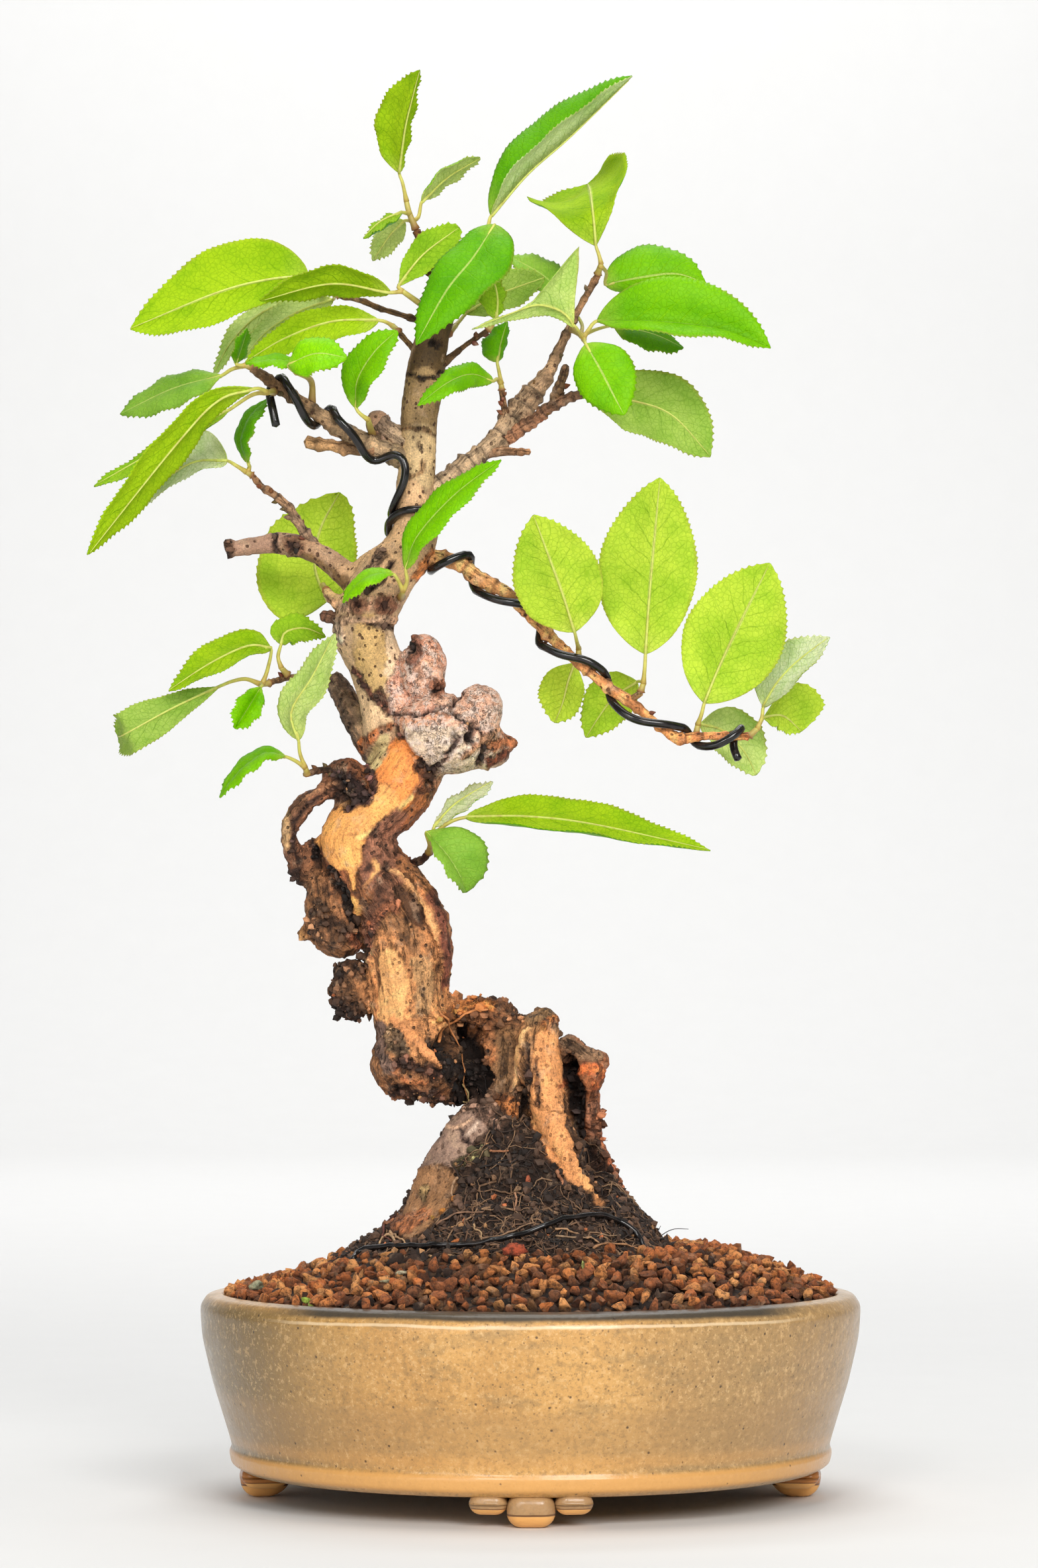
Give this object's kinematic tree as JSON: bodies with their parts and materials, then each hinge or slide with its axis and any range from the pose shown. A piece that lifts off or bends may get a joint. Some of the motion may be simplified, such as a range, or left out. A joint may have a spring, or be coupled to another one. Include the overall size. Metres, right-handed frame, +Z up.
{
  "type": "bonsai tree",
  "caption": "Informal upright bonsai with a gnarled trunk, wired branches and serrated leaves, standing in a round glazed pot with cloud feet and coarse clay soil.",
  "frame": {"origin": "under the centre of the whole object's box, at the floor that its feet stand on", "axes": "+Z up, -Y towards the side seen in the picture, +X to the right in it"},
  "size_m": [0.173, 0.1488, 0.3233],
  "materials": {
    "glaze": "olive-tan glaze over stoneware, satin, speckled",
    "clay_grains": "porous fired clay grains, matte",
    "screen": "moulded plastic mesh",
    "bark": "bark, bare wood and roots, rough",
    "wire": "dark anodised annealed wire",
    "leaf": "living leaves, satin above and paler below"
  },
  "bodies": {
    "root": {"pot": "glaze", "soil": "clay_grains", "drain_screen": "screen", "trunk": "bark", "training_wire": "wire", "tie_wire": "wire", "shoot_apex": "leaf", "shoot_back_twig": "leaf", "shoot_back_twig_top": "leaf", "shoot_behind_crown": "leaf", "shoot_bud_collar": "leaf", "shoot_crown": "leaf", "shoot_crown_back": "leaf", "shoot_crown_twig": "leaf", "shoot_first_twig": "leaf", "shoot_fork": "leaf", "shoot_knob": "leaf", "shoot_knob_spur": "leaf", "shoot_long_end": "leaf", "shoot_long_first": "leaf", "shoot_long_second": "leaf", "shoot_long_third": "leaf", "shoot_low_right": "leaf", "shoot_lower_left": "leaf", "shoot_middle_spur": "leaf", "shoot_right_mid": "leaf", "shoot_right_top": "leaf", "shoot_second_twig": "leaf", "shoot_trunk_front": "leaf", "shoot_wired_end": "leaf", "shoot_wired_low": "leaf", "shoot_wired_top": "leaf"}
  },
  "joints": []
}
